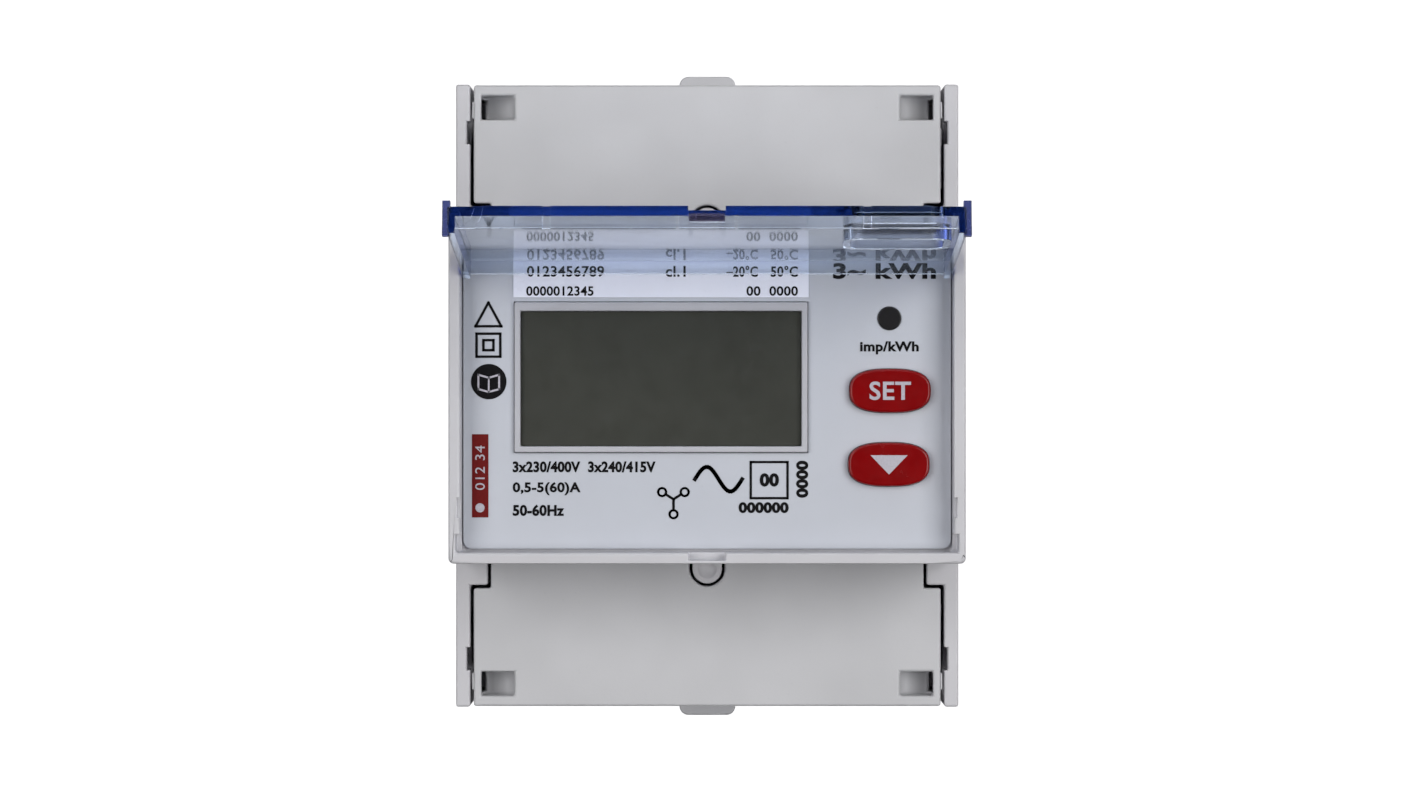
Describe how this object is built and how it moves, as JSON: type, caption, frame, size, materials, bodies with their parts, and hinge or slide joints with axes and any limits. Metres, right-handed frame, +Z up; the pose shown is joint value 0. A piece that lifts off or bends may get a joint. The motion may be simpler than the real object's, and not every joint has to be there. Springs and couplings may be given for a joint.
{
  "type": "rail-mounted electricity meter",
  "caption": "Rail-mounted energy meter with terminal covers, clear flip lid, dark display, pulse lens, push buttons and sliding rail clips.",
  "frame": {"origin": "centre of the flat seat that rests on the front of the rail", "axes": "+X to the right across the front, +Y into the wall, +Z up; the front faces -Y"},
  "size_m": [0.072, 0.1072, 0.098],
  "materials": {
    "housing_grey": "fine textured light grey",
    "cover_grey": "fine textured light grey",
    "lid_clear": "clear blue-tinted polycarbonate",
    "face_ice": "pale ice-blue printed sheet",
    "label_white": "smooth white label",
    "frame_grey": "fine textured mid grey",
    "lcd_dark": "dark switched-off display",
    "backlight_white": "clear light guide",
    "contact_rubber": "soft",
    "lens_black": "smoked lens",
    "led_red": "clear red",
    "button_red": "soft sheen",
    "black_plastic": "moulded",
    "switch_metal": "stamped",
    "board_green": "solder resist",
    "screw_steel": "zinc plated",
    "ferrite": "ferrite and tape",
    "capacitor_yellow": "moulded box",
    "capacitor_sleeve": "sleeve",
    "varistor_blue": "dipped",
    "battery_steel": "nickel plated",
    "transformer_blue": "potted",
    "bar_copper": "bare copper",
    "bar_tinned": "tinned copper",
    "insulator_grey": "moulded",
    "cage_brass": "nickel-flashed brass",
    "aux_green": "moulded",
    "clip_grey": "moulded"
  },
  "bodies": {
    "meter": {"rear_housing": "housing_grey", "front_housing": "housing_grey", "faceplate": "face_ice", "data_label": "label_white", "lcd_frame": "frame_grey", "lcd_glass": "lcd_dark", "lcd_backlight": "backlight_white", "zebra_strips": "contact_rubber", "pulse_lens": "lens_black", "pulse_led": "led_red", "tact_switches": "switch_metal", "display_board": "board_green", "display_board_screws": "screw_steel", "power_board": "board_green", "power_board_screws": "screw_steel", "board_link": "black_plastic", "supply_transformer": "ferrite", "film_capacitors": "capacitor_yellow", "electrolytic_capacitors": "capacitor_sleeve", "varistors": "varistor_blue", "processor_chips": "black_plastic", "backup_battery": "battery_steel", "current_transformers": "transformer_blue", "phase_busbars": "bar_copper", "neutral_busbar": "bar_tinned", "top_terminal_block": "insulator_grey", "bottom_terminal_block": "insulator_grey", "top_screw_guard": "insulator_grey", "bottom_screw_guard": "insulator_grey", "top_entry_frame": "housing_grey", "bottom_entry_frame": "housing_grey", "top_terminal_cages": "cage_brass", "bottom_terminal_cages": "cage_brass", "top_terminal_screws": "screw_steel", "bottom_terminal_screws": "screw_steel", "aux_terminal_blocks": "aux_green", "aux_terminal_screws": "screw_steel"},
    "lid": {"lid": "lid_clear"},
    "prog": {"prog_button": "button_red", "prog_plunger": "black_plastic"},
    "scroll": {"scroll_button": "button_red", "scroll_plunger": "black_plastic"},
    "top_cover": {"top_terminal_cover": "cover_grey"},
    "bottom_cover": {"bottom_terminal_cover": "cover_grey"},
    "top_clip": {"din_clip_top": "clip_grey"},
    "bottom_clip": {"din_clip_bottom": "clip_grey"}
  },
  "joints": [
    {"name": "lid_hinge", "type": "hinge", "parent": "meter", "child": "lid", "pos_m": [0, -0.0612, 0.0181], "axis": [1, 0, 0], "range_deg": [-12.5, 97]},
    {"name": "prog_press", "type": "slide", "parent": "meter", "child": "prog", "axis": [0, 1, 0], "range_m": [0, 0.0006], "stiffness_N_per_m": 400, "springref_m": -0.001},
    {"name": "scroll_press", "type": "slide", "parent": "meter", "child": "scroll", "axis": [0, 1, 0], "range_m": [0, 0.0006], "stiffness_N_per_m": 400, "springref_m": -0.001},
    {"name": "top_cover_pull", "type": "slide", "parent": "meter", "child": "top_cover", "axis": [0, -1, 0], "range_m": [0, 0.03]},
    {"name": "bottom_cover_pull", "type": "slide", "parent": "meter", "child": "bottom_cover", "axis": [0, -1, 0], "range_m": [0, 0.03]},
    {"name": "top_clip_slide", "type": "slide", "parent": "meter", "child": "top_clip", "axis": [0, 0, 1], "range_m": [0, 0.0035], "stiffness_N_per_m": 600, "springref_m": -0.002},
    {"name": "bottom_clip_slide", "type": "slide", "parent": "meter", "child": "bottom_clip", "axis": [0, 0, -1], "range_m": [0, 0.0035], "stiffness_N_per_m": 600, "springref_m": -0.002}
  ]
}
